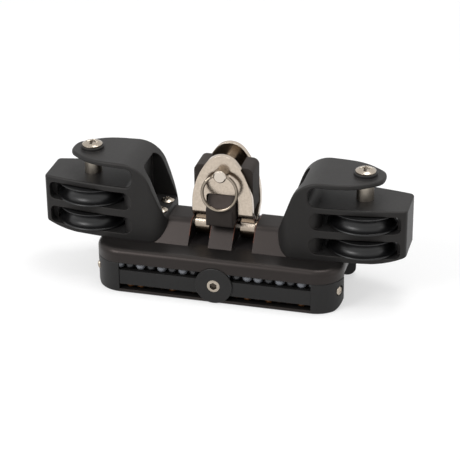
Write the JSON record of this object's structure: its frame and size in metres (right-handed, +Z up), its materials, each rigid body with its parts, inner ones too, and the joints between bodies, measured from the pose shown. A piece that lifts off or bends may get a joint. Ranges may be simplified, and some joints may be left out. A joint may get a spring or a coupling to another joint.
{
  "type": "mainsheet traveller car",
  "caption": "Ball bearing traveller car with a ridged flange, an upright bent strip toggle with clevis pin and ring, and a double control block with becket at each end.",
  "frame": {"origin": "centre of the car on the plane of the rails' undersides", "axes": "+X along the track, +Z up out of the deck, -Y the side that the ring hangs on"},
  "size_m": [0.228, 0.0724, 0.0882],
  "materials": {
    "anodised_body": "black satin anodised",
    "moulded_black": "fine grained moulding",
    "disc_black": "smooth moulding",
    "block_composite": "satin fibre filled moulding",
    "sheave_black": "turned satin",
    "bush_bronze": "turned",
    "stainless_strip": "satin faces with polished edges",
    "stainless_bar": "polished",
    "stainless_wire": "polished",
    "stainless_screw": "polished heads",
    "boot_rubber": "matt, slightly textured",
    "white_ball": "smooth",
    "amber_ball": "smooth"
  },
  "bodies": {
    "car": {"car_body": "anodised_body", "end_cap_screws": "stainless_screw", "disc_screws": "stainless_screw", "axle_screws": "stainless_screw", "foot_screws": "stainless_screw", "cross_pin": "stainless_bar", "guide_bar_front": "moulded_black", "guide_bar_rear": "moulded_black", "centre_disc_front": "disc_black", "centre_disc_rear": "disc_black", "upper_balls_front": "white_ball", "upper_balls_rear": "white_ball", "lower_balls_front": "amber_ball", "lower_balls_rear": "amber_ball", "end_cap_front_left": "moulded_black", "end_cap_front_right": "moulded_black", "end_cap_rear_left": "moulded_black", "end_cap_rear_right": "moulded_black", "block_housing_left": "block_composite", "block_housing_right": "block_composite", "sheave_axle_left": "stainless_bar", "sheave_axle_right": "stainless_bar", "lower_bush_left": "bush_bronze", "lower_bush_right": "bush_bronze", "upper_bush_left": "bush_bronze", "upper_bush_right": "bush_bronze"},
    "toggle_link": {"toggle": "stainless_strip", "stand_up_boot": "boot_rubber"},
    "clevis": {"clevis_pin": "stainless_bar"},
    "ring": {"split_ring": "stainless_wire"},
    "lower_sheave_left_wheel": {"lower_sheave_left": "sheave_black"},
    "upper_sheave_left_wheel": {"upper_sheave_left": "sheave_black"},
    "lower_sheave_right_wheel": {"lower_sheave_right": "sheave_black"},
    "upper_sheave_right_wheel": {"upper_sheave_right": "sheave_black"}
  },
  "joints": [
    {"name": "toggle_swing", "type": "hinge", "parent": "car", "child": "toggle_link", "pos_m": [0, 0, 0.0366], "axis": [1, 0, 0], "range_deg": [-35, 35], "stiffness_Nm_per_rad": 0.3},
    {"name": "clevis_turn", "type": "hinge", "parent": "toggle_link", "child": "clevis", "pos_m": [0, 0, 0.0768], "axis": [0, 1, 0], "continuous": true},
    {"name": "ring_swing", "type": "hinge", "parent": "clevis", "child": "ring", "pos_m": [0, -0.015, 0.0768], "axis": [1, 0, 0], "range_deg": [-90, 0]},
    {"name": "lower_sheave_left_spin", "type": "hinge", "parent": "car", "child": "lower_sheave_left_wheel", "pos_m": [-0.086, 0, 0.0386], "axis": [0, 0, 1], "continuous": true},
    {"name": "upper_sheave_left_spin", "type": "hinge", "parent": "car", "child": "upper_sheave_left_wheel", "pos_m": [-0.086, 0, 0.055], "axis": [0, 0, 1], "continuous": true},
    {"name": "lower_sheave_right_spin", "type": "hinge", "parent": "car", "child": "lower_sheave_right_wheel", "pos_m": [0.086, 0, 0.0386], "axis": [0, 0, 1], "continuous": true},
    {"name": "upper_sheave_right_spin", "type": "hinge", "parent": "car", "child": "upper_sheave_right_wheel", "pos_m": [0.086, 0, 0.055], "axis": [0, 0, 1], "continuous": true}
  ]
}
